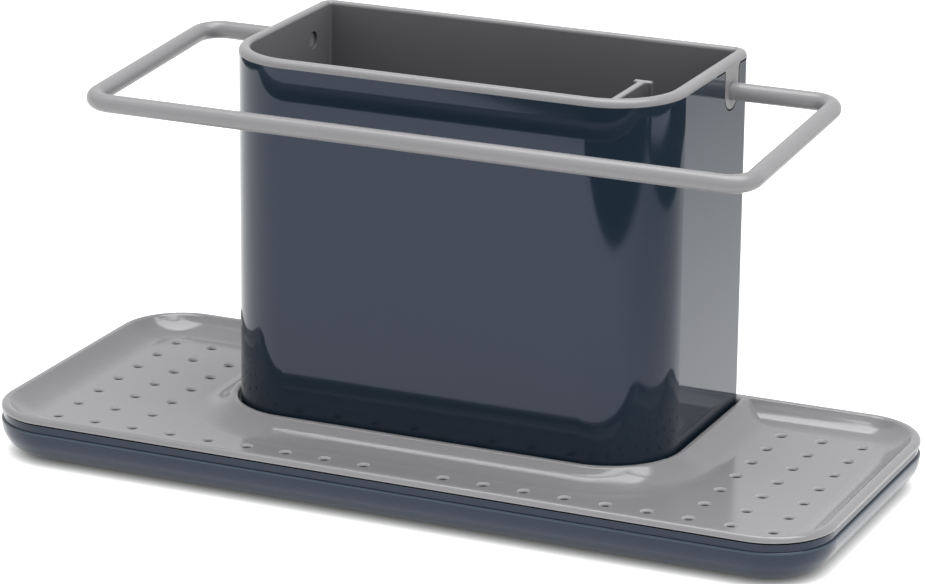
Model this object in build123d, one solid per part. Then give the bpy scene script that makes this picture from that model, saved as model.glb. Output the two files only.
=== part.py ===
"""Kitchen sink caddy, in millimetres: +Z up, floor at zero, front towards -Y.

A shallow base on four pads carries a draining tray. A deep container stands in
the tray's collar: an outer shell, and a liner that hangs in it by its rim. Two
tongues of the liner hold the towel rail's ends, so that the rail can swing up.
"""

import math
import os

from build123d import *

# Tray and base, outline seen from above
tray_length = 312.2
tray_depth = 132.6
tray_corner_radius = 24.0

# Levels of the stack
pad_proud = 1.0
base_floor = 2.2
band_bottom_z = 13.2
shadow_gap = 0.85
seat_z = 12.9
tray_floor = 2.0
flange_under_z = 16.56
flange_thickness = 2.09

# Pads under the base
pad_radius = 7.0
pad_height = 2.2
pad_edge = 0.5
pad_pocket_clearance = 0.1
pad_boss_wall = 1.8
pad_from_end = 30.0
pad_from_side = 26.0

# Base
base_wall = 2.2
base_roll_radius = 10.8
band_recess = 0.8
band_edge = 0.8
rib_thickness = 1.5
rib_height = 4.5

# Draining tray
lip_width = 3.0
lip_outer_edge = 1.6
lip_inner_edge = 1.4
sweep_radius = 14.2
skirt_inset = 3.7
skirt_clearance = 0.3
rear_rim_width = 5.7

# Drain holes, on a square grid: full columns at the ends, one row along the front
hole_pitch = 15.0
hole_top_radius = 2.35
hole_bottom_radius = 1.2
hole_from_end = 21.1
hole_from_front = 21.3
end_columns = 3
end_rows = 7
front_columns = 6

# Collar round the container's foot
collar_gap = 0.9
collar_lip = 2.7
heel_clearance = 0.5
heel_lift = 0.3

# Openings under the container
slot_count = 2
slot_pitch = 66.0
slot_width = 56.0
slot_depth = 50.0
slot_radius = 8.0
shell_slot_inset = 3.0

# Outer shell
shell_width = 165.2
shell_front_y = -24.4
shell_back_y = 64.4
shell_front_radius = 26.0
shell_back_radius = 5.6
shell_wall = 1.9
shell_floor = 1.9
shell_top_z = 144.3
shell_foot_edge = 0.8
least_corner_radius = 0.6

# Liner and its rim
liner_wall = 1.9
liner_clearance = 0.3
liner_under_gap = 0.45
liner_outer_edge = 3.6
liner_inner_edge = 2.0
liner_back_radius = 1.0
rim_height = 2.6
rim_outer_edge = 2.0
rim_inner_edge = 1.4

# Holes in the liner's floor
floor_hole_radius = 2.5
floor_hole_columns = 5
floor_hole_rows = 2
floor_hole_pitch = 27.0

# Tongues that carry the rail
tongue_centre_y = 45.6
tongue_width = 12.6
tongue_end_z = 129.3
tongue_front_fillet = 1.0
tongue_back_fillet = 2.4
tongue_root_height = 1.0
tongue_root_reach = 8.0
notch_gap = 0.6

# Fin with a T-shaped end, moulded inside the liner
fin_x = 64.6
fin_thickness = 2.6
fin_bite = 0.8
fin_back_y = 8.5
fin_flange_width = 6.6
fin_flange_thickness = 1.9
fin_fillet = 1.7
fin_edge = 0.7
fin_below_rim = 0.4

# Towel rail
rail_radius = 3.2
rail_half_width = 121.4
rail_bend_radius = 8.5
rail_pivot_y = 46.6
rail_pivot_z = 135.4
rail_reach = 91.1
rail_droop_degrees = 3.4
rail_pin_clearance = 0.09
rail_pin_inset = 1.0
rail_pin_edge = 0.5

# Room for cutters that must pass right through a wall
through = 5.0

# How far an edge may lie from the level it is looked for at
level_tolerance = 0.01

# Derived sizes
base_under_z = pad_proud
base_top_z = flange_under_z - shadow_gap
flange_top_z = flange_under_z + flange_thickness
tray_under_z = seat_z - tray_floor
wall_height = flange_top_z - seat_z
sweep_run = math.sqrt(sweep_radius**2 - (sweep_radius - wall_height) ** 2)
sweep_top = sweep_radius + through
floor_inset = lip_width + sweep_run
collar_outset = collar_gap + collar_lip + sweep_run - sweep_radius
under_radius = sweep_radius + tray_floor
rib_inset = skirt_inset - skirt_clearance
shell_depth = shell_back_y - shell_front_y
shell_centre_y = (shell_back_y + shell_front_y) / 2
rear_rim_y = tray_depth / 2 - rear_rim_width
heel_face_y = rear_rim_y - heel_clearance
heel_top_z = flange_top_z + heel_lift
liner_inset = shell_wall + liner_clearance
hollow_inset = liner_inset + liner_wall
liner_under_z = heel_top_z + shell_wall + liner_under_gap
rim_top_z = shell_top_z + rim_height
fin_top_z = rim_top_z - fin_below_rim
rail_bore_radius = rail_radius + rail_pin_clearance
pivot_drop = rail_reach * math.sin(math.radians(rail_droop_degrees))
rail_front_y = rail_pivot_y - rail_reach * math.cos(math.radians(rail_droop_degrees))
rail_front_z = rail_pivot_z - pivot_drop


def tray_plan(inset):
    """Outline of the tray from above, moved inwards by the inset."""
    length = tray_length - inset * 2
    depth = tray_depth - inset * 2
    return RectangleRounded(length, depth, tray_corner_radius - inset)


def container_plan(inset, back_radius=None):
    """Outline of the container from above, moved inwards by the inset, at will with its own back corners."""
    plan = Rectangle(shell_width - inset * 2, shell_depth - inset * 2)
    front = plan.vertices().sort_by(Axis.Y)[:2]
    plan = fillet(front, shell_front_radius - inset)
    back = plan.vertices().sort_by(Axis.Y)[-2:]
    if back_radius is None:
        back_radius = max(shell_back_radius - inset, least_corner_radius)
    plan = fillet(back, back_radius)
    return Pos(0, shell_centre_y) * plan


def prism(plan, low_z, high_z):
    """A plan carried straight up from one level to another."""
    return Pos(0, 0, low_z) * extrude(plan, high_z - low_z)


def edges_at(solid, level):
    """Edges that lie flat at one level."""
    return solid.edges().filter_by_position(Axis.Z, level - level_tolerance, level + level_tolerance)


def block(width, low_y, high_y, low_z, high_z):
    """A block centred on X, between two depths and two levels."""
    middle = Pos(0, (low_y + high_y) / 2, (low_z + high_z) / 2)
    return middle * Box(width, high_y - low_y, high_z - low_z)


def slots(inset):
    """Row of rounded openings in the middle of the container's foot."""
    opening = RectangleRounded(slot_width - inset * 2, slot_depth - inset * 2, slot_radius - inset)
    first_x = -slot_pitch * (slot_count - 1) / 2
    return [Pos(first_x + slot_pitch * i, shell_centre_y) * opening for i in range(slot_count)]


def pad_places():
    """Name and place of each pad under the base."""
    x = tray_length / 2 - pad_from_end
    y = tray_depth / 2 - pad_from_side
    return {
        "foot_front_left": (-x, -y),
        "foot_front_right": (x, -y),
        "foot_back_left": (-x, y),
        "foot_back_right": (x, y),
    }


def make_pad(place):
    """A round rubber pad with an eased lower edge."""
    pad = prism(Circle(pad_radius), 0, pad_height)
    pad = chamfer(edges_at(pad, 0), pad_edge)
    return Pos(*place) * pad


def make_base():
    """Shallow open reservoir with a rolled lower edge and a rib that carries the tray."""
    lower = prism(tray_plan(0), base_under_z, band_bottom_z)
    lower = fillet(edges_at(lower, base_under_z), base_roll_radius)
    lower = fillet(edges_at(lower, band_bottom_z), band_edge)
    band = prism(tray_plan(band_recess), band_bottom_z, base_top_z)
    hollow = prism(tray_plan(base_wall), base_under_z + base_floor, flange_top_z)
    hollow_edge = edges_at(hollow, base_under_z + base_floor)
    hollow = fillet(hollow_edge, base_roll_radius - base_wall)
    body = lower + band - hollow
    rib_outer = prism(tray_plan(rib_inset - rib_thickness), flange_under_z - rib_height, flange_under_z)
    rib_hollow = prism(tray_plan(rib_inset), base_under_z, flange_top_z)
    body += rib_outer - rib_hollow
    for place in pad_places().values():
        boss = prism(Circle(pad_radius + pad_boss_wall), base_under_z, pad_height + base_floor)
        pocket = prism(Circle(pad_radius + pad_pocket_clearance), 0, pad_height)
        body = body + Pos(*place) * boss - Pos(*place) * pocket
    return body


def hole_places():
    """Centres of the drain holes: full columns at each end, and the front row between them."""
    outer_x = tray_length / 2 - hole_from_end
    front_y = hole_from_front - tray_depth / 2
    places = []
    for side in (-1, 1):
        for column in range(end_columns + front_columns):
            rows = end_rows if column < end_columns else 1
            x = side * (outer_x - column * hole_pitch)
            places += [(x, front_y + row * hole_pitch) for row in range(rows)]
    return places


def drain_hole():
    """Cutter for one drain hole, a funnel through the floor."""
    taper = hole_top_radius - hole_bottom_radius
    funnel = Pos(0, 0, seat_z) * Cone(hole_bottom_radius, hole_top_radius + taper, tray_floor * 2)
    return funnel + prism(Circle(hole_bottom_radius), tray_under_z - through, tray_under_z)


def well_space():
    """Space of the well: one wide sweep up to the lip and up to the collar, mitred where they meet."""
    high_z = seat_z + sweep_top
    space = prism(tray_plan(floor_inset - sweep_radius), seat_z, high_z)
    space = fillet(edges_at(space, seat_z), sweep_radius)
    collar = prism(container_plan(-collar_outset), seat_z - through, high_z + through)
    straight = shell_width + collar_outset * 2
    behind = block(straight, shell_centre_y, tray_depth * 2, seat_z - through, high_z + through)
    outside = block(tray_length * 2, -tray_depth, tray_depth, seat_z, high_z) - collar - behind
    foot_edges = edges_at(outside, seat_z).filter_by(
        lambda edge: abs(edge.center().X) < straight / 2 + level_tolerance and edge.center().Y > -tray_depth / 2
    )
    outside = fillet(foot_edges, sweep_radius)
    return space & outside


def well_underside():
    """Body of the well below the flange, its sweep one floor's thickness outside the space."""
    body = prism(tray_plan(floor_inset - under_radius), tray_under_z, tray_under_z + sweep_top + through)
    body = fillet(edges_at(body, tray_under_z), under_radius)
    return body & prism(tray_plan(skirt_inset), tray_under_z, flange_under_z)


def make_tray():
    """Draining tray: flange, well with drain holes, collar and openings for the container."""
    flange = prism(tray_plan(0), flange_under_z, flange_top_z)
    flange = fillet(edges_at(flange, flange_top_z), lip_outer_edge)
    tray = flange + well_underside() - well_space()
    pocket = prism(container_plan(-collar_gap), seat_z, flange_top_z + through)
    back = block(tray_length, rear_rim_y, tray_depth, 0, shell_top_z)
    tray -= pocket - back
    top = tray.faces().sort_by(Axis.Z)[-1]
    inner_edges = [edge for wire in top.inner_wires() for edge in wire.edges()]
    tray = fillet(inner_edges, lip_inner_edge)
    for opening in slots(0):
        tray -= prism(opening, tray_under_z - through, seat_z + through)
    cutter = drain_hole()
    tray -= [Pos(*place) * cutter for place in hole_places()]
    return tray


def tongue_face():
    """Side view of a tongue: rounded end, and unlike fillets where it leaves the rim."""
    round_z = tongue_end_z + tongue_width / 2
    high_z = shell_top_z + tongue_root_height
    shank = Pos(tongue_centre_y, (round_z + high_z) / 2) * Rectangle(tongue_width, high_z - round_z)
    end = Pos(tongue_centre_y, round_z) * Circle(tongue_width / 2)
    root_width = tongue_width + tongue_root_reach * 2
    root = Rectangle(root_width, tongue_root_height)
    face = shank + end + Pos(tongue_centre_y, shell_top_z + tongue_root_height / 2) * root
    for side, radius in ((-1, tongue_front_fillet), (1, tongue_back_fillet)):
        corner = (tongue_centre_y + side * tongue_width / 2, shell_top_z)
        face = fillet(face.vertices().sort_by_distance(corner)[0], radius)
    return face


def side_solid(face, side, low_x, high_x):
    """A side view carried from one distance from the middle to another, on one side."""
    solid = Pos(low_x, 0, 0) * extrude(Plane.YZ * face, high_x - low_x)
    return solid if side > 0 else mirror(solid, Plane.YZ)


def make_shell():
    """Outer shell: open box with a stepped heel, drained floor and two notches."""
    shell = prism(container_plan(0), seat_z, shell_top_z)
    shell = chamfer(edges_at(shell, seat_z), shell_foot_edge)
    shell -= block(tray_length, heel_face_y, tray_depth, 0, heel_top_z)
    hollow = prism(container_plan(shell_wall), seat_z + shell_floor, rim_top_z)
    hollow -= block(tray_length, heel_face_y - shell_wall, tray_depth, 0, heel_top_z + shell_wall)
    shell -= hollow
    for opening in slots(shell_slot_inset):
        shell -= prism(opening, seat_z - through, seat_z + through)
    notch = offset(tongue_face(), notch_gap)
    half = shell_width / 2
    for side in (-1, 1):
        shell -= side_solid(notch, side, half - through, half + through)
    return shell


def make_fin():
    """Fin that stands out of the liner's front wall and ends in a T."""
    flange_front_y = fin_back_y - fin_flange_thickness
    wall_y = shell_front_y + hollow_inset + fin_bite
    stem = Pos(0, (wall_y + fin_back_y) / 2) * Rectangle(fin_thickness, fin_back_y - wall_y)
    flange = Pos(0, fin_back_y - fin_flange_thickness / 2) * Rectangle(fin_flange_width, fin_flange_thickness)
    plan = stem + flange
    for side in (-1, 1):
        inner = plan.vertices().sort_by_distance((side * fin_thickness / 2, flange_front_y))[0]
        plan = fillet(inner, fin_fillet)
    fin = prism(plan, liner_under_z + liner_wall / 2, fin_top_z)
    fin = fillet(edges_at(fin, fin_top_z), fin_edge)
    return Pos(fin_x, 0, 0) * fin


def make_liner():
    """Liner: rim, wall, drained floor, tongues with the rail's sockets, and the fin."""
    body = prism(container_plan(liner_inset), liner_under_z, shell_top_z)
    body = fillet(edges_at(body, liner_under_z), liner_outer_edge)
    rim = prism(container_plan(0), shell_top_z, rim_top_z)
    rim = fillet(edges_at(rim, rim_top_z), rim_outer_edge)
    inside = container_plan(hollow_inset, liner_back_radius)
    hollow = prism(inside, liner_under_z + liner_wall, rim_top_z + through)
    hollow = fillet(edges_at(hollow, liner_under_z + liner_wall), liner_inner_edge)
    liner = body + rim
    half = shell_width / 2
    for side in (-1, 1):
        liner += side_solid(tongue_face(), side, half - hollow_inset, half)
    liner -= hollow
    liner = fillet(inner_rim_edges(liner), rim_inner_edge)
    liner += make_fin()
    for side in (-1, 1):
        socket = Pos(0, rail_pivot_y, rail_pivot_z) * Rot(0, 90, 0) * Cylinder(rail_bore_radius, through * 2)
        liner -= Pos(side * (half - hollow_inset / 2), 0, 0) * socket
    for i in range(floor_hole_columns):
        for j in range(floor_hole_rows):
            x = (i - (floor_hole_columns - 1) / 2) * floor_hole_pitch
            y = shell_centre_y + (j - (floor_hole_rows - 1) / 2) * floor_hole_pitch
            liner -= Pos(x, y) * prism(Circle(floor_hole_radius), 0, liner_under_z + through)
    return liner


def inner_rim_edges(liner):
    """Edges where the rim's top meets the liner's inside."""
    inner_half = shell_width / 2 - hollow_inset
    low_y = shell_front_y + hollow_inset
    high_y = shell_back_y - hollow_inset
    found = []
    for edge in edges_at(liner, rim_top_z):
        box = edge.bounding_box()
        inside_x = box.max.X < inner_half + rim_inner_edge and box.min.X > -inner_half - rim_inner_edge
        inside_y = box.max.Y < high_y + rim_inner_edge and box.min.Y > low_y - rim_inner_edge
        if inside_x and inside_y:
            found.append(edge)
    return found


def make_rail():
    """Bent rod: front bar, two side bars and two stubs that end as pins."""
    pin_x = shell_width / 2 - hollow_inset + rail_pin_inset
    half_path = [
        (pin_x, rail_pivot_y, rail_pivot_z),
        (rail_half_width, rail_pivot_y, rail_pivot_z),
        (rail_half_width, rail_front_y, rail_front_z),
    ]
    other_half = [(-x, y, z) for x, y, z in reversed(half_path)]
    path = FilletPolyline(*half_path, *other_half, radius=rail_bend_radius)
    start = Plane(origin=path @ 0, z_dir=path % 0)
    rail = sweep(start * Circle(rail_radius), path=path)
    ends = rail.faces().filter_by(Axis.X).sort_by(Axis.X)
    pin_edges = [edge for face in (ends[0], ends[-1]) for edge in face.edges()]
    return chamfer(pin_edges, rail_pin_edge)


def main():
    """Build every piece and write each to its own file."""
    os.makedirs("parts", exist_ok=True)
    pieces = {
        "base_reservoir": make_base(),
        "draining_tray": make_tray(),
        "outer_shell": make_shell(),
        "inner_liner": make_liner(),
        "towel_rail": make_rail(),
    }
    for name, place in pad_places().items():
        pieces[name] = make_pad(place)
    for name, piece in pieces.items():
        export_step(piece, f"parts/{name}.step")


main()
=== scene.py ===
"""Kitchen sink caddy: finishes, stage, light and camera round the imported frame, in metres."""

import math

import bmesh
import bpy
from bpy.props import FloatProperty, FloatVectorProperty, PointerProperty
from mathutils import Matrix, Vector

bl_info = {
    "name": "Kitchen sink caddy",
    "version": (1, 0, 0),
    "blender": (4, 5, 0),
    "location": "View3D > Sidebar > Caddy",
    "description": "Finishes and stages a kitchen sink caddy with a towel rail",
    "category": "Object",
}

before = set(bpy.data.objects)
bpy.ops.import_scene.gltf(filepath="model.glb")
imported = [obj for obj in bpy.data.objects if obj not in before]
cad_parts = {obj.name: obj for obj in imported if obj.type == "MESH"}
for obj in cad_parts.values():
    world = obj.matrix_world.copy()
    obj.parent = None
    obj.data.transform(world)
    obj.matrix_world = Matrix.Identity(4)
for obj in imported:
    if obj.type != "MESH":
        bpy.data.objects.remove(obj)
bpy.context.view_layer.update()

PADS = ("foot_front_left", "foot_front_right", "foot_back_left", "foot_back_right")
PHOTO_WIDTH = 925
SENSOR_WIDTH = 36.0
CAMERA_PLACE = Vector((0.56943, -1.28067, 0.51424))

WHITE = (1.0, 1.0, 1.0, 1.0)
# Pale slate that paints a highlight line on the base's band.
HIGHLIGHT_SLATE = (0.62, 0.82, 1.0, 1.0)
# Black also paints shade in the drain holes' throats and in the gap under the tray's lip.
BLACK = (0.0, 0.0, 0.0, 1.0)
# The colour of painted shade in hollows.
DEEP_SHADE = (0.0, 0.002, 0.010, 1.0)
CARD_BLACK = (0.01, 0.01, 0.012, 1.0)

# The drain holes: their pitch, where they begin at the tray's ends and in front, the height that their
# funnels stay below, and the radii at which the painted shade of a throat ends and the painted highlight of a
# mouth begins.
HOLE_PITCH = 0.015
HOLES_FROM_X = 0.0975
HOLES_TO_Y = -0.0375
HOLES_BELOW_Z = 0.01288
THROAT_RADII = (0.00165, 0.00185)
MOUTH_RADII = (0.00175, 0.0021)

# The cards lie round the container's front right corner. Bearings turn from the front to the right.
# A fade leads up to the dark over FADE_RUN, reaches FADE_SHARE of it and goes on sideways to FADE_END.
# The patch's corners are bearings in degrees and runs in metres.
SHELL_CORNER = Vector((0.070, -0.017, 0.0005))
FRONT_BEARING = math.radians(28.0)
RIGHT_BEARING = math.radians(112.0)
CARD_DEPTH = 0.6
CARD_LIFT = 0.002
DARK_RIGHT_END = 0.38
FADE_RUN = 0.33
FADE_SHARE = 0.5
FADE_END = 1.5
PATCH_CORNERS = ((80.0, 0.475), (116.0, 0.52), (120.0, 0.8), (84.0, 0.8))

SOFTBOX_PLACE = (0.30, -0.02, 1.5)
SOFTBOX_SIZE = (2.0, 1.0)
SOFTBOX_TURN = math.radians(-19.0)


class CaddyFinishes(bpy.types.PropertyGroup):
    """Colours and gloss of the caddy's plastics and rubber."""

    slate: FloatVectorProperty(
        name="Slate blue",
        description="Colour of the shell's and the base's glossy plastic",
        subtype="COLOR",
        size=3,
        min=0.0,
        max=1.0,
        default=(0.0085, 0.0165, 0.0265),
    )
    slate_gloss: FloatProperty(
        name="Slate roughness",
        description="Roughness of the shell's glossy plastic",
        min=0.0,
        max=1.0,
        default=0.06,
    )
    grey: FloatVectorProperty(
        name="Mid grey",
        description="Colour of the tray's plastic",
        subtype="COLOR",
        size=3,
        min=0.0,
        max=1.0,
        default=(0.194, 0.192, 0.200),
    )
    liner_grey: FloatVectorProperty(
        name="Liner grey",
        description="Colour of the liner's and the rail's plastic",
        subtype="COLOR",
        size=3,
        min=0.0,
        max=1.0,
        default=(0.196, 0.193, 0.198),
    )
    tray_gloss: FloatProperty(
        name="Tray roughness",
        description="Roughness of the draining tray's plastic",
        min=0.0,
        max=1.0,
        default=0.11,
    )
    satin_gloss: FloatProperty(
        name="Satin roughness",
        description="Roughness of the liner's and the rail's satin plastic",
        min=0.0,
        max=1.0,
        default=0.32,
    )
    rubber: FloatVectorProperty(
        name="Rubber",
        description="Colour of the pads under the base",
        subtype="COLOR",
        size=3,
        min=0.0,
        max=1.0,
        default=(0.025, 0.025, 0.027),
    )
    rubber_gloss: FloatProperty(
        name="Rubber roughness",
        description="Roughness of the pads' rubber",
        min=0.0,
        max=1.0,
        default=0.7,
    )


class CaddyStage(bpy.types.PropertyGroup):
    """Floor, light and camera."""

    floor_half: FloatProperty(
        name="Floor half width",
        description="Half the width of the pale floor",
        subtype="DISTANCE",
        unit="LENGTH",
        default=6.0,
    )
    floor_albedo: FloatProperty(
        name="Floor albedo",
        description="How much light the floor returns",
        default=0.25,
    )
    card_albedo: FloatProperty(
        name="Pale card albedo",
        description="How much light the pale card returns",
        default=0.84,
    )
    contact_shadow_reach: FloatProperty(
        name="Contact reach",
        description="How far from the base the floor's own glow fades",
        subtype="DISTANCE",
        unit="LENGTH",
        default=0.006,
    )
    floor_glow: FloatProperty(
        name="Floor glow",
        description="Light from the floor itself, which keeps the shadow thin",
        default=1.28,
    )
    sky_low: FloatProperty(
        name="Surround low",
        description="Strength of the surround just over the horizon",
        default=0.90,
    )
    sky_front: FloatProperty(
        name="Surround in front",
        description="Strength of the surround high on the photographer's side",
        default=0.95,
    )
    sky_back: FloatProperty(
        name="Surround behind",
        description="Strength of the surround high behind the caddy",
        default=0.60,
    )
    key_power: FloatProperty(
        name="Key power",
        description="Power of the large soft light overhead",
        subtype="POWER",
        default=33.0,
    )
    edge_front: FloatProperty(
        name="Dark edge in front",
        description="From the container's corner to the dark beyond the table, towards the camera",
        subtype="DISTANCE",
        unit="LENGTH",
        default=0.310,
    )
    edge_right: FloatProperty(
        name="Dark edge at the right",
        description="From the container's corner to the dark beyond the table, at its right",
        subtype="DISTANCE",
        unit="LENGTH",
        default=0.370,
    )
    azimuth: FloatProperty(
        name="Azimuth",
        description="How far the camera stands round to the right of the front",
        subtype="ANGLE",
        default=math.radians(23.905),
    )
    elevation: FloatProperty(
        name="Elevation",
        description="How far the camera looks down",
        subtype="ANGLE",
        default=math.radians(17.79),
    )
    roll: FloatProperty(
        name="Roll",
        description="Turn of the camera about its own axis",
        subtype="ANGLE",
        default=math.radians(0.514),
    )
    focal_pixels: FloatProperty(
        name="Focal length",
        description="Focal length in pixels of the photograph's width",
        default=4221.4,
    )


def new_group(name, inputs, outputs):
    """An empty shader node group with named sockets."""
    group = bpy.data.node_groups.new(name, "ShaderNodeTree")
    for socket_name, kind, default in inputs:
        socket = group.interface.new_socket(socket_name, in_out="INPUT", socket_type=kind)
        socket.default_value = default
    for socket_name, kind in outputs:
        group.interface.new_socket(socket_name, in_out="OUTPUT", socket_type=kind)
    group.nodes.new("NodeGroupInput")
    group.nodes.new("NodeGroupOutput")
    return group


def add_node(tree, kind, values=(), links=(), **settings):
    """A node with its settings, its input values and what feeds it."""
    node = tree.nodes.new(kind)
    for key, value in settings.items():
        setattr(node, key, value)
    for key, value in dict(values).items():
        node.inputs[key].default_value = value
    for key, source in dict(links).items():
        tree.links.new(source, node.inputs[key])
    return node


def ends(group):
    """The inputs' outlets and the outputs' inlets of a group."""
    inlet = next(n for n in group.nodes if n.bl_idname == "NodeGroupInput")
    outlet = next(n for n in group.nodes if n.bl_idname == "NodeGroupOutput")
    return inlet.outputs, outlet.inputs


def noise(tree, coordinates, scale, detail=3.0, roughness=0.5):
    """Noise texture value on the given coordinates."""
    node = add_node(
        tree,
        "ShaderNodeTexNoise",
        {"Detail": detail, "Roughness": roughness},
        {"Vector": coordinates, "Scale": scale},
    )
    return node.outputs["Fac"]


def ranged(tree, value, from_low, from_high, to_low, to_high):
    """A value carried from one range to another."""
    node = add_node(
        tree,
        "ShaderNodeMapRange",
        {"From Min": from_low, "From Max": from_high, "To Min": to_low, "To Max": to_high},
        {"Value": value},
    )
    return node.outputs["Result"]


def math_node(tree, operation, first, second):
    """One arithmetic step on two values, each a socket or a number."""
    node = tree.nodes.new("ShaderNodeMath")
    node.operation = operation
    for index, value in enumerate((first, second)):
        if isinstance(value, (int, float)):
            node.inputs[index].default_value = value
        else:
            tree.links.new(value, node.inputs[index])
    return node.outputs[0]


def mixed(tree, factor, first, second):
    """A colour between two, by a factor."""
    node = add_node(tree, "ShaderNodeMix", data_type="RGBA")
    for index, value in ((0, factor), (6, first), (7, second)):
        if isinstance(value, bpy.types.NodeSocket):
            tree.links.new(value, node.inputs[index])
        else:
            node.inputs[index].default_value = value
    return node.outputs[2]


def make_edge_group():
    """Mask that is one along outer edges, where handling polishes a moulding and where a highlight is
    painted.
    """
    group = new_group(
        "edge_wear_and_highlight",
        [("Radius", "NodeSocketFloat", 0.0008), ("Breakup Scale", "NodeSocketFloat", 60.0)],
        [("Edge", "NodeSocketFloat")],
    )
    given, result = ends(group)
    bevel = add_node(group, "ShaderNodeBevel", links={"Radius": given["Radius"]}, samples=6)
    geometry = add_node(group, "ShaderNodeNewGeometry")
    dot = add_node(
        group,
        "ShaderNodeVectorMath",
        links={0: bevel.outputs["Normal"], 1: geometry.outputs["Normal"]},
        operation="DOT_PRODUCT",
    )
    bend = ranged(group, dot.outputs["Value"], 0.99, 0.75, 0.0, 1.0)
    place = add_node(group, "ShaderNodeTexCoord")
    patches = noise(group, place.outputs["Object"], given["Breakup Scale"])
    patches = ranged(group, patches, 0.35, 0.65, 0.4, 1.0)
    group.links.new(math_node(group, "MULTIPLY", bend, patches), result["Edge"])
    return group


def make_grain_group():
    """Fine moulded grain, slow waviness and cloudy handling marks."""
    group = new_group(
        "moulded_grain",
        [
            ("Grain Scale", "NodeSocketFloat", 2600.0),
            ("Wave Scale", "NodeSocketFloat", 22.0),
            ("Wave Share", "NodeSocketFloat", 0.5),
            ("Cloud Scale", "NodeSocketFloat", 9.0),
        ],
        [("Height", "NodeSocketFloat"), ("Cloud", "NodeSocketFloat"), ("Speckle", "NodeSocketFloat")],
    )
    given, result = ends(group)
    place = add_node(group, "ShaderNodeTexCoord").outputs["Object"]
    fine = noise(group, place, given["Grain Scale"], 2.0, 0.6)
    wave = noise(group, place, given["Wave Scale"], 1.0, 0.4)
    share = given["Wave Share"]
    rest = math_node(group, "SUBTRACT", 1.0, share)
    height = math_node(
        group,
        "ADD",
        math_node(group, "MULTIPLY", wave, share),
        math_node(group, "MULTIPLY", fine, rest),
    )
    group.links.new(height, result["Height"])
    cloud = noise(group, place, given["Cloud Scale"], 5.0, 0.62)
    group.links.new(ranged(group, cloud, 0.3, 0.7, 0.0, 1.0), result["Cloud"])
    speck = noise(group, place, given["Grain Scale"], 4.0, 0.8)
    group.links.new(ranged(group, speck, 0.62, 0.72, 0.0, 1.0), result["Speckle"])
    return group


def make_shade_group():
    """Mask for painted shade: one where the walls of a hollow hide most of the sky."""
    group = new_group(
        "painted_hollow_shade",
        [("Reach", "NodeSocketFloat", 0.14)],
        [("Shade", "NodeSocketFloat")],
    )
    given, result = ends(group)
    hidden = add_node(group, "ShaderNodeAmbientOcclusion", links={"Distance": given["Reach"]}, samples=6)
    group.links.new(ranged(group, hidden.outputs["AO"], 0.35, 0.95, 1.0, 0.0), result["Shade"])
    return group


def make_line_group():
    """Mask that is one on a thin level line round a moulding, such as the shoulder of its band, where a
    highlight is painted.
    """
    group = new_group(
        "painted_line_highlight",
        [("Level", "NodeSocketFloat", 0.0), ("Half Width", "NodeSocketFloat", 0.0004)],
        [("Line", "NodeSocketFloat")],
    )
    given, result = ends(group)
    place = add_node(group, "ShaderNodeTexCoord").outputs["Object"]
    height = add_node(group, "ShaderNodeSeparateXYZ", links={0: place}).outputs["Z"]
    away = math_node(group, "ABSOLUTE", math_node(group, "SUBTRACT", height, given["Level"]), 0.0)
    share = math_node(group, "DIVIDE", away, given["Half Width"])
    group.links.new(ranged(group, share, 0.6, 1.0, 1.0, 0.0), result["Line"])
    return group


def make_funnel_group():
    """Masks of the drain holes' funnels: one for a painted highlight in the mouth, one for painted shade in
    the throat.
    """
    group = new_group(
        "painted_funnel_light",
        [("Pitch", "NodeSocketFloat", HOLE_PITCH)],
        [("Mouth", "NodeSocketFloat"), ("Throat", "NodeSocketFloat")],
    )
    given, result = ends(group)
    place = add_node(group, "ShaderNodeTexCoord").outputs["Object"]
    axes = add_node(group, "ShaderNodeSeparateXYZ", links={0: place}).outputs
    squares = []
    for axis in ("X", "Y"):
        cells = math_node(group, "DIVIDE", axes[axis], given["Pitch"])
        nearest = math_node(group, "ROUND", cells, 0.0)
        away = math_node(group, "SUBTRACT", cells, nearest)
        away = math_node(group, "MULTIPLY", away, given["Pitch"])
        away = math_node(group, "ABSOLUTE", away, 0.0)
        squares.append(math_node(group, "POWER", away, 2.0))
    run = math_node(group, "SQRT", math_node(group, "ADD", *squares), 0.0)
    from_middle = math_node(group, "ABSOLUTE", axes["X"], 0.0)
    at_ends = math_node(group, "GREATER_THAN", from_middle, HOLES_FROM_X)
    in_front = math_node(group, "LESS_THAN", axes["Y"], HOLES_TO_Y)
    drained = math_node(group, "MAXIMUM", at_ends, in_front)
    below = math_node(group, "LESS_THAN", axes["Z"], HOLES_BELOW_Z)
    sunk = math_node(group, "MULTIPLY", below, drained)
    mouth = ranged(group, run, *MOUTH_RADII, 0.0, 1.0)
    throat = ranged(group, run, *THROAT_RADII, 1.0, 0.0)
    group.links.new(math_node(group, "MULTIPLY", mouth, sunk), result["Mouth"])
    group.links.new(math_node(group, "MULTIPLY", throat, sunk), result["Throat"])
    return group


def group_node(tree, name, make, values):
    """A shared group, built once and placed with its own values."""
    group = bpy.data.node_groups.get(name) or make()
    return add_node(tree, "ShaderNodeGroup", values, node_tree=group)


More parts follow.
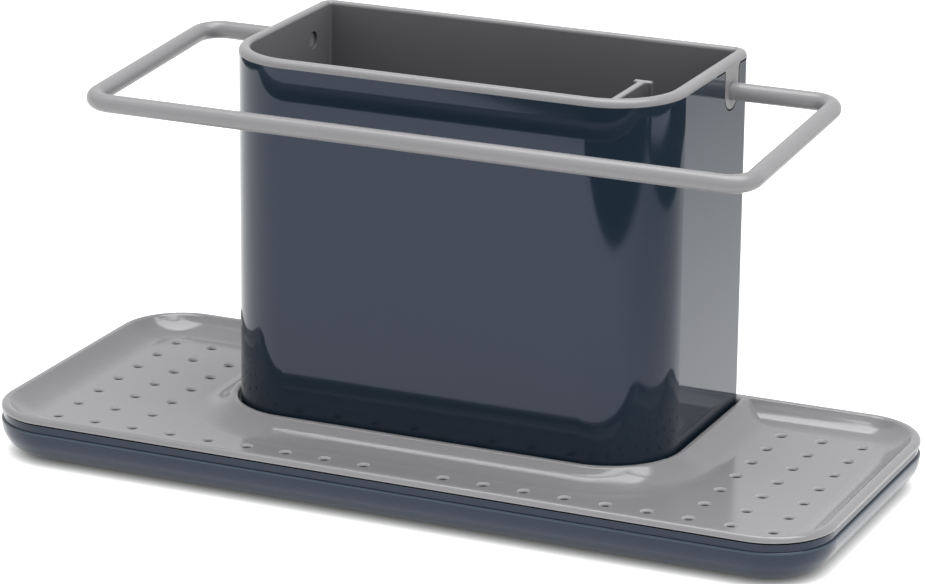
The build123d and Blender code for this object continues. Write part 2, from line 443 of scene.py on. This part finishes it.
def plastic(name, colour, roughness, finish):
    """Moulded plastic: cloudy tint, edges lightened for wear and as a painted highlight, fine grain and marks
    from the shared groups, and painted highlights and painted shade where a finish asks for them.
    """
    material = bpy.data.materials.new(name)
    material.use_nodes = True
    tree = material.node_tree
    shader = tree.nodes["Principled BSDF"]
    grain = group_node(
        tree,
        "moulded_grain",
        make_grain_group,
        {
            "Grain Scale": finish["grain_scale"],
            "Wave Scale": finish["wave_scale"],
            "Wave Share": finish["wave_share"],
        },
    )
    edge = group_node(tree, "edge_wear_and_highlight", make_edge_group, {"Radius": finish["edge_radius"]})
    darker = tuple(c * (1.0 - finish["tint"]) for c in colour) + (1.0,)
    lighter = tuple(min(1.0, c * (1.0 + finish["tint"])) for c in colour) + (1.0,)
    pale_wear_and_highlight = tuple(c + (1.0 - c) * finish["edge_wear_highlight"] for c in colour) + (1.0,)
    body = mixed(tree, grain.outputs["Cloud"], darker, lighter)
    speck_share = math_node(tree, "MULTIPLY", grain.outputs["Speckle"], finish["speckle"])
    body = mixed(tree, speck_share, body, pale_wear_and_highlight)
    # Edges lighten for wear and also as a painted highlight, most on the tray's lip.
    body = mixed(tree, edge.outputs["Edge"], body, pale_wear_and_highlight)
    # A painted highlight along a thin level line, on the shoulder of the base's band.
    if "highlight_line_z" in finish:
        line = group_node(tree, "painted_line_highlight", make_line_group, {"Level": finish["highlight_line_z"]})
        highlight_share = math_node(tree, "MULTIPLY", line.outputs["Line"], finish["highlight_line_lift"])
        body = mixed(tree, highlight_share, body, HIGHLIGHT_SLATE)
    # A painted highlight in the drain holes' mouths and painted shade in their throats.
    if "mouth_highlight" in finish:
        funnel = group_node(tree, "painted_funnel_light", make_funnel_group, {})
        highlight_share = math_node(tree, "MULTIPLY", funnel.outputs["Mouth"], finish["mouth_highlight"])
        body = mixed(tree, highlight_share, body, WHITE)
        dark = math_node(tree, "MULTIPLY", funnel.outputs["Throat"], finish["throat_dark"])
        body = mixed(tree, dark, body, BLACK)
    rough = ranged(
        tree,
        grain.outputs["Cloud"],
        0.0,
        1.0,
        roughness * (1.0 - finish["rough_spread"]),
        roughness * (1.0 + finish["rough_spread"]),
    )
    # Painted shade: darker and rougher where walls hide the sky, inside the liner and in the base's recess.
    if "shade" in finish:
        shade = group_node(tree, "painted_hollow_shade", make_shade_group, {"Reach": finish["shade_reach"]})
        shade_share = math_node(tree, "MULTIPLY", shade.outputs["Shade"], finish["shade"])
        body = mixed(tree, shade_share, body, DEEP_SHADE)
        rough = math_node(tree, "MAXIMUM", rough, shade_share)
        # Painted shadow: above this height, where the tray's lip hides it, the base turns black and loses its
        # gloss.
        if "gap_shadow_z" in finish:
            place = add_node(tree, "ShaderNodeTexCoord").outputs["Object"]
            height = add_node(tree, "ShaderNodeSeparateXYZ", links={0: place}).outputs["Z"]
            above = math_node(tree, "GREATER_THAN", height, finish["gap_shadow_z"])
            hidden = ranged(tree, shade.outputs["Shade"], 0.0, 0.3, 0.0, 1.0)
            gap = math_node(tree, "MULTIPLY", above, hidden)
            body = mixed(tree, gap, body, BLACK)
            tree.links.new(gap, shader.inputs["Metallic"])
    tree.links.new(body, shader.inputs["Base Color"])
    tree.links.new(rough, shader.inputs["Roughness"])
    bump = add_node(
        tree,
        "ShaderNodeBump",
        {"Strength": finish["bump"], "Distance": finish["bump_depth"]},
        {"Height": grain.outputs["Height"]},
    )
    tree.links.new(bump.outputs["Normal"], shader.inputs["Normal"])
    shader.inputs["IOR"].default_value = finish["ior"]
    shader.inputs["Specular IOR Level"].default_value = 0.5
    shader.inputs["Specular Tint"].default_value = (*finish["gloss_tint"], 1.0)
    return material


# Finishes. Scales are noise cells to the metre. Radii, depths, heights and reaches are in metres.
# ior is the index of refraction and gloss_tint a colour. The other values are shares from 0 to 1.
HIGH_GLOSS = {
    "grain_scale": 900.0,
    "wave_scale": 18.0,
    "wave_share": 0.92,
    "edge_radius": 0.0006,
    "tint": 0.05,
    "edge_wear_highlight": 0.03,
    "speckle": 0.0,
    "rough_spread": 0.25,
    "bump": 0.04,
    "bump_depth": 0.0008,
    "ior": 1.5,
    "gloss_tint": (0.69, 0.72, 0.89),
}
# The base's finish paints a highlight line on its band, shade in its recess and shadow in the gap under the
# tray's lip.
BASE_GLOSS = {
    **HIGH_GLOSS,
    "highlight_line_z": 0.0127,
    "highlight_line_lift": 0.05,
    "shade": 0.25,
    "shade_reach": 0.004,
    "gap_shadow_z": 0.0158,
}
# The tray's finish paints highlights on its edges and in its drain holes' mouths, and shade in their throats.
TRAY_GLOSS = {
    "grain_scale": 1900.0,
    "wave_scale": 30.0,
    "wave_share": 0.5,
    "edge_radius": 0.0006,
    "tint": 0.03,
    "edge_wear_highlight": 0.16,
    "mouth_highlight": 0.20,
    "throat_dark": 0.92,
    "speckle": 0.05,
    "rough_spread": 0.18,
    "bump": 0.05,
    "bump_depth": 0.0006,
    "ior": 1.5,
    "gloss_tint": (1.0, 1.0, 1.0),
}
SATIN = {
    "grain_scale": 2600.0,
    "wave_scale": 26.0,
    "wave_share": 0.3,
    "edge_radius": 0.0005,
    "tint": 0.035,
    "edge_wear_highlight": 0.07,
    "speckle": 0.10,
    "rough_spread": 0.15,
    "bump": 0.12,
    "bump_depth": 0.0004,
    "ior": 1.48,
    "gloss_tint": (1.0, 1.0, 1.0),
}
# The liner's satin, with painted shade deep in its hollow.
SATIN_PAINTED_SHADE = {**SATIN, "shade": 0.52, "shade_reach": 0.14}
RUBBER = {
    "grain_scale": 3200.0,
    "wave_scale": 40.0,
    "wave_share": 0.2,
    "edge_radius": 0.0004,
    "tint": 0.12,
    "edge_wear_highlight": 0.04,
    "speckle": 0.2,
    "rough_spread": 0.08,
    "bump": 0.35,
    "bump_depth": 0.0005,
    "ior": 1.45,
    "gloss_tint": (1.0, 1.0, 1.0),
}


def wear(node, material):
    """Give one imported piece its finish."""
    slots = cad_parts[node].material_slots
    if not slots:
        raise RuntimeError(f"{node} has no material slot")
    for slot in slots:
        slot.material = material


class CADDY_OT_shell(bpy.types.Operator):
    """High-gloss slate-blue plastic on the container's outer shell"""

    bl_idname = "caddy.shell"
    bl_label = "Outer shell"

    def execute(self, context):
        finishes = context.scene.caddy_finishes
        wear("outer_shell", plastic("shell_slate_gloss", finishes.slate, finishes.slate_gloss, HIGH_GLOSS))
        return {"FINISHED"}


class CADDY_OT_base(bpy.types.Operator):
    """Slate-blue gloss plastic on the base"""
    # Slate-blue gloss plastic on the base, with a painted highlight line on its band, painted shade in its
    # recess and a painted shadow under the tray's lip

    bl_idname = "caddy.base"
    bl_label = "Base"

    def execute(self, context):
        finishes = context.scene.caddy_finishes
        wear("base_reservoir", plastic("base_slate_gloss", finishes.slate, finishes.slate_gloss, BASE_GLOSS))
        return {"FINISHED"}


class CADDY_OT_tray(bpy.types.Operator):
    """Mid-grey plastic with a soft gloss on the draining tray, with painted highlights on its edges and in
    its drain holes' mouths, and painted shade in their throats
    """

    bl_idname = "caddy.tray"
    bl_label = "Draining tray"

    def execute(self, context):
        finishes = context.scene.caddy_finishes
        wear("draining_tray", plastic("tray_grey_gloss", finishes.grey, finishes.tray_gloss, TRAY_GLOSS))
        return {"FINISHED"}


class CADDY_OT_liner(bpy.types.Operator):
    """Satin grey plastic on the liner and its rim, with painted shade deep inside its hollow"""

    bl_idname = "caddy.liner"
    bl_label = "Liner"

    def execute(self, context):
        finishes = context.scene.caddy_finishes
        satin = plastic("liner_grey_satin", finishes.liner_grey, finishes.satin_gloss, SATIN_PAINTED_SHADE)
        wear("inner_liner", satin)
        return {"FINISHED"}


class CADDY_OT_rail(bpy.types.Operator):
    """Satin grey plastic on the towel rail"""

    bl_idname = "caddy.rail"
    bl_label = "Towel rail"

    def execute(self, context):
        finishes = context.scene.caddy_finishes
        wear("towel_rail", plastic("rail_grey_satin", finishes.liner_grey, finishes.satin_gloss, SATIN))
        return {"FINISHED"}


class CADDY_OT_pads(bpy.types.Operator):
    """Black rubber on the four pads"""

    bl_idname = "caddy.pads"
    bl_label = "Pads"

    def execute(self, context):
        finishes = context.scene.caddy_finishes
        material = plastic("pad_rubber", finishes.rubber, finishes.rubber_gloss, RUBBER)
        for node in PADS:
            wear(node, material)
        return {"FINISHED"}


def soft_light(name, place, size, turn, power):
    """One soft rectangular light that points straight down."""
    data = bpy.data.lights.new(name, "AREA")
    data.shape = "RECTANGLE"
    data.size, data.size_y = size
    data.energy = power
    light = bpy.data.objects.new(name, data)
    light.location = place
    light.rotation_euler.z = turn
    bpy.context.scene.collection.objects.link(light)


def even_grey(share):
    """The colour without a tint that returns this share of the light."""
    return (share, share, share, 1.0)


def matt(name, colour, roughness):
    """A plain matt material."""
    material = bpy.data.materials.new(name)
    material.use_nodes = True
    shader = material.node_tree.nodes["Principled BSDF"]
    shader.inputs["Base Color"].default_value = colour
    shader.inputs["Roughness"].default_value = roughness
    return material


def stage_piece(name, shape, material):
    """A finished shape as a piece of the stage, which isn't part of the caddy."""
    mesh = bpy.data.meshes.new(name)
    shape.to_mesh(mesh)
    shape.free()
    mesh.materials.append(material)
    piece = bpy.data.objects.new(name, mesh)
    bpy.context.scene.collection.objects.link(piece)
    return piece


def make_floor(stage):
    """Pale plain floor that glows, with a painted contact shadow where its glow fades close to the base."""
    shape = bmesh.new()
    bmesh.ops.create_grid(shape, x_segments=1, y_segments=1, size=stage.floor_half)
    material = matt("pale_floor", even_grey(stage.floor_albedo), 0.9)
    tree = material.node_tree
    shader = tree.nodes["Principled BSDF"]
    shader.inputs["Emission Color"].default_value = WHITE
    # Painted contact shadow: the floor's glow fades where the base hides the sky.
    clear = add_node(tree, "ShaderNodeAmbientOcclusion", {"Distance": stage.contact_shadow_reach}, samples=8)
    glow = math_node(tree, "MULTIPLY", clear.outputs["AO"], stage.floor_glow)
    tree.links.new(glow, shader.inputs["Emission Strength"])
    stage_piece("pale_floor", shape, material)


def make_card(name, points, material):
    """One flat card just over the floor, seen in reflections only."""
    shape = bmesh.new()
    shape.faces.new([shape.verts.new(point) for point in points])
    card = stage_piece(name, shape, material)
    card.visible_camera = False
    card.visible_shadow = False
    card.visible_diffuse = False


def dark_card(name, bearing, gap, low_side, high_side, fade=0.0, fade_side=0.0):
    """The dark beyond one edge of the table, with the fade that leads to it."""
    outward = Vector((math.sin(bearing), -math.cos(bearing), 0.0))
    along = Vector((math.cos(bearing), math.sin(bearing), 0.0))
    near, far = gap - FADE_RUN, gap + CARD_DEPTH
    last_side = max(high_side, fade_side)
    corners = [(near, low_side), (near, last_side), (far, last_side), (far, low_side)]
    points = [SHELL_CORNER + outward * run + along * side for run, side in corners]
    material = matt(name, CARD_BLACK, 1.0)
    tree = material.node_tree
    place = add_node(tree, "ShaderNodeTexCoord").outputs["Object"]
    run, side = [
        add_node(tree, "ShaderNodeVectorMath", {1: way}, {0: place}, operation="DOT_PRODUCT").outputs["Value"]
        for way in (outward, along)
    ]
    start = SHELL_CORNER.dot(outward) + gap
    faded = ranged(tree, run, start - FADE_RUN, start, 0.0, fade)
    beyond = math_node(tree, "GREATER_THAN", run, start)
    inside = math_node(tree, "LESS_THAN", side, SHELL_CORNER.dot(along) + high_side)
    dark = math_node(tree, "MULTIPLY", beyond, inside)
    shown = math_node(tree, "MAXIMUM", faded, dark)
    tree.links.new(shown, tree.nodes["Principled BSDF"].inputs["Alpha"])
    make_card(name, points, material)


def pale_card(name, corners, albedo):
    """A pale card on the dark, its corners given as bearing and run from the container."""
    points = []
    for bearing, run in corners:
        turn = math.radians(bearing)
        points.append(SHELL_CORNER + Vector((math.sin(turn) * run, -math.cos(turn) * run, CARD_LIFT)))
    make_card(name, points, matt(name, even_grey(albedo), 1.0))


def make_surround(stage):
    """White surround: even low down, and high up brighter in front of the caddy than behind it."""
    world = bpy.data.worlds.new("white_surround")
    world.use_nodes = True
    tree = world.node_tree
    place = add_node(tree, "ShaderNodeTexCoord")
    split = add_node(tree, "ShaderNodeSeparateXYZ", links={0: place.outputs["Generated"]})
    high = ranged(tree, split.outputs["Y"], 0.0, 0.6, stage.sky_front, stage.sky_back)
    share = ranged(tree, split.outputs["Z"], 0.4, 0.6, 0.0, 1.0)
    rise = math_node(tree, "MULTIPLY", share, math_node(tree, "SUBTRACT", high, stage.sky_low))
    strength = math_node(tree, "ADD", rise, stage.sky_low)
    background = tree.nodes["Background"]
    background.inputs["Color"].default_value = WHITE
    tree.links.new(strength, background.inputs["Strength"])
    bpy.context.scene.world = world


class CADDY_OT_stage(bpy.types.Operator):
    """Pale floor, white surround, soft light, and the dark beyond the table's edges"""

    bl_idname = "caddy.stage"
    bl_label = "Stage"

    def execute(self, context):
        stage = context.scene.caddy_stage
        make_floor(stage)
        make_surround(stage)
        soft_light("overhead", SOFTBOX_PLACE, SOFTBOX_SIZE, SOFTBOX_TURN, stage.key_power)
        dark_card("dark_front", FRONT_BEARING, stage.edge_front, -CARD_DEPTH, stage.edge_right)
        pale_card("pale_patch", PATCH_CORNERS, stage.card_albedo)
        dark_card(
            "dark_right",
            RIGHT_BEARING,
            stage.edge_right,
            -stage.edge_front,
            DARK_RIGHT_END,
            FADE_SHARE,
            FADE_END,
        )
        context.scene.view_settings.view_transform = "Standard"
        return {"FINISHED"}


class CADDY_OT_camera(bpy.types.Operator):
    """Camera where the photograph was taken from"""

    bl_idname = "caddy.camera"
    bl_label = "Camera"

    def execute(self, context):
        stage = context.scene.caddy_stage
        turn, tilt, roll = stage.azimuth, stage.elevation, stage.roll
        back = Vector(
            (
                math.sin(turn) * math.cos(tilt),
                -math.cos(turn) * math.cos(tilt),
                math.sin(tilt),
            )
        )
        level = Vector((math.cos(turn), math.sin(turn), 0.0))
        above = back.cross(level)
        right = math.cos(roll) * level + math.sin(roll) * above
        up = -math.sin(roll) * level + math.cos(roll) * above
        data = bpy.data.cameras.new("camera")
        data.sensor_width = SENSOR_WIDTH
        data.lens = stage.focal_pixels / PHOTO_WIDTH * SENSOR_WIDTH
        data.clip_start = 0.05
        camera = bpy.data.objects.new("camera", data)
        turned = Matrix((right, up, back)).transposed().to_4x4()
        camera.matrix_world = Matrix.Translation(CAMERA_PLACE) @ turned
        context.scene.collection.objects.link(camera)
        context.scene.camera = camera
        return {"FINISHED"}


class CADDY_PT_panel(bpy.types.Panel):
    """Lists the caddy's sizes, colours and steps"""

    bl_idname = "CADDY_PT_panel"
    bl_label = "Sink caddy"
    bl_space_type = "VIEW_3D"
    bl_region_type = "UI"
    bl_category = "Caddy"

    def draw(self, context):
        for group in (context.scene.caddy_finishes, context.scene.caddy_stage):
            box = self.layout.box()
            for key in group.__annotations__:
                box.prop(group, key)
        for operator in OPERATORS:
            self.layout.operator(operator.bl_idname)


OPERATORS = (
    CADDY_OT_base,
    CADDY_OT_pads,
    CADDY_OT_tray,
    CADDY_OT_shell,
    CADDY_OT_liner,
    CADDY_OT_rail,
    CADDY_OT_stage,
    CADDY_OT_camera,
)
CLASSES = (CaddyFinishes, CaddyStage, *OPERATORS, CADDY_PT_panel)


def register():
    """Register the classes and attach the settings to the scene."""
    for cls in CLASSES:
        bpy.utils.register_class(cls)
    bpy.types.Scene.caddy_finishes = PointerProperty(type=CaddyFinishes)
    bpy.types.Scene.caddy_stage = PointerProperty(type=CaddyStage)


def unregister():
    """Take the settings and classes away again."""
    del bpy.types.Scene.caddy_finishes
    del bpy.types.Scene.caddy_stage
    for cls in reversed(CLASSES):
        bpy.utils.unregister_class(cls)


def main():
    """Register and run every step in order."""
    register()
    for operator in OPERATORS:
        family, name = operator.bl_idname.split(".")
        getattr(getattr(bpy.ops, family), name)()


if __name__ == "__main__":
    main()
